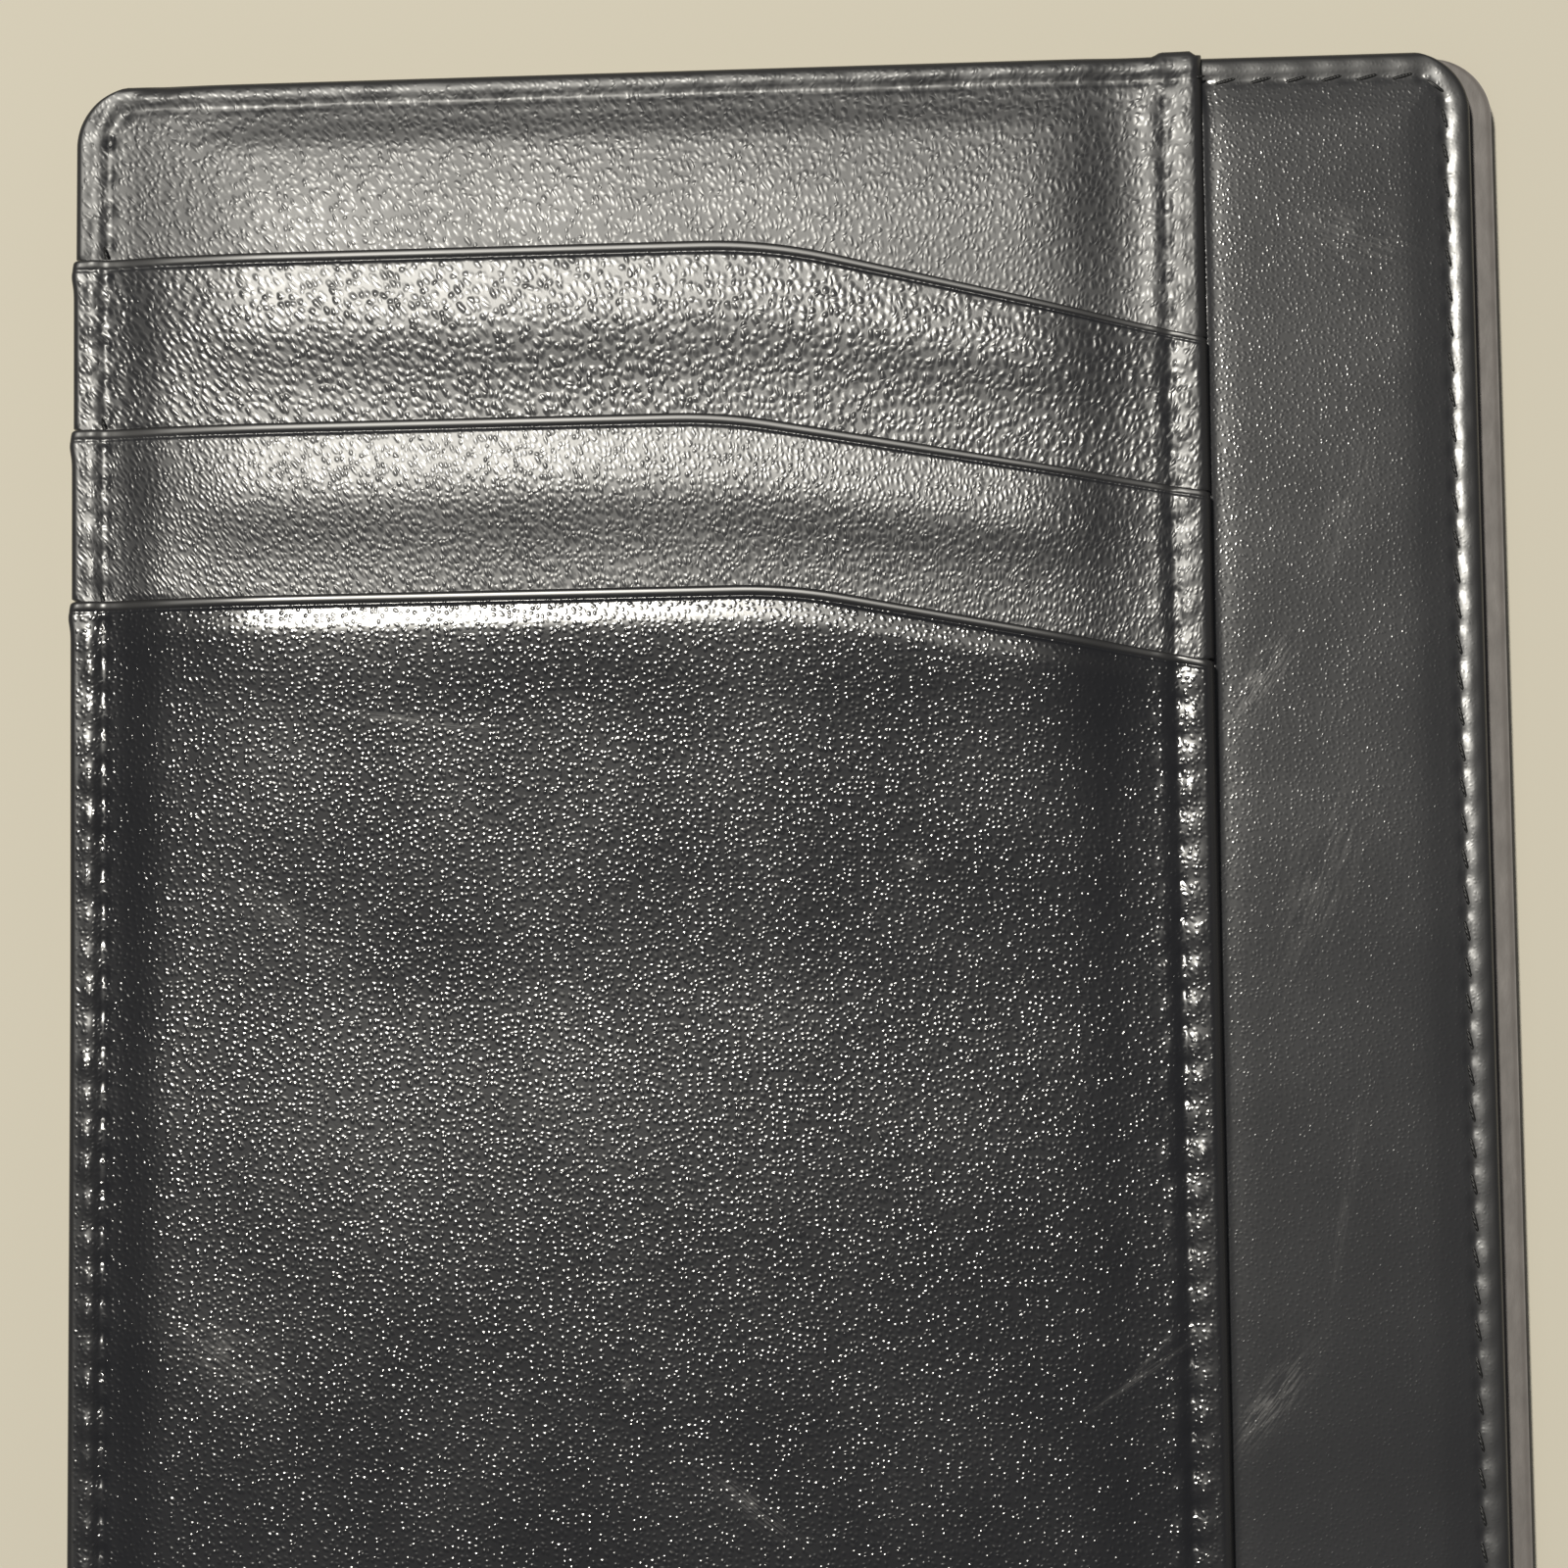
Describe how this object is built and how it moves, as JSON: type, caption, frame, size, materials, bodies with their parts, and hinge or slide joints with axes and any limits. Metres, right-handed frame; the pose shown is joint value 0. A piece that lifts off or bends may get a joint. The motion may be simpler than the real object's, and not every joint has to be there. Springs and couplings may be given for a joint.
{
  "type": "card holder",
  "caption": "Slim black leather card holder: stepped card pockets with curved mouths beside a plain strip, and a centre pocket that opens along one long edge.",
  "frame": {"origin": "middle of the footprint, on the surface that the card holder lies on", "axes": "+X towards the open edge of the centre pocket, +Y towards the card pocket mouths, +Z out of the front face"},
  "size_m": [0.079, 0.11, 0.0061],
  "materials": {
    "black_leather": "glossy fine pebble grain, painted cut edges",
    "lining_cloth": "matt plain weave",
    "stiffener_board": "grey pressed board, hidden inside",
    "seam_thread": "waxed black polyester thread"
  },
  "bodies": {
    "rear_half": {"rear_leather": "black_leather", "rear_stiffener": "stiffener_board", "rear_lining": "lining_cloth", "rear_seam_thread": "seam_thread"},
    "front_half": {"front_lining": "lining_cloth", "front_stiffener": "stiffener_board", "front_leather": "black_leather", "upper_pocket_lining": "lining_cloth", "middle_pocket_lining": "lining_cloth", "lower_pocket_lining": "lining_cloth", "top_band": "black_leather", "upper_pocket": "black_leather", "middle_pocket": "black_leather", "front_pocket": "black_leather", "front_seam_thread": "seam_thread", "pocket_seam_thread": "seam_thread"}
  },
  "joints": [
    {"name": "centre_pocket_opening", "type": "hinge", "parent": "rear_half", "child": "front_half", "pos_m": [-0.0395, 0, 0.00165], "axis": [0, -1, 0], "range_deg": [0, 8], "stiffness_Nm_per_rad": 0.05}
  ]
}
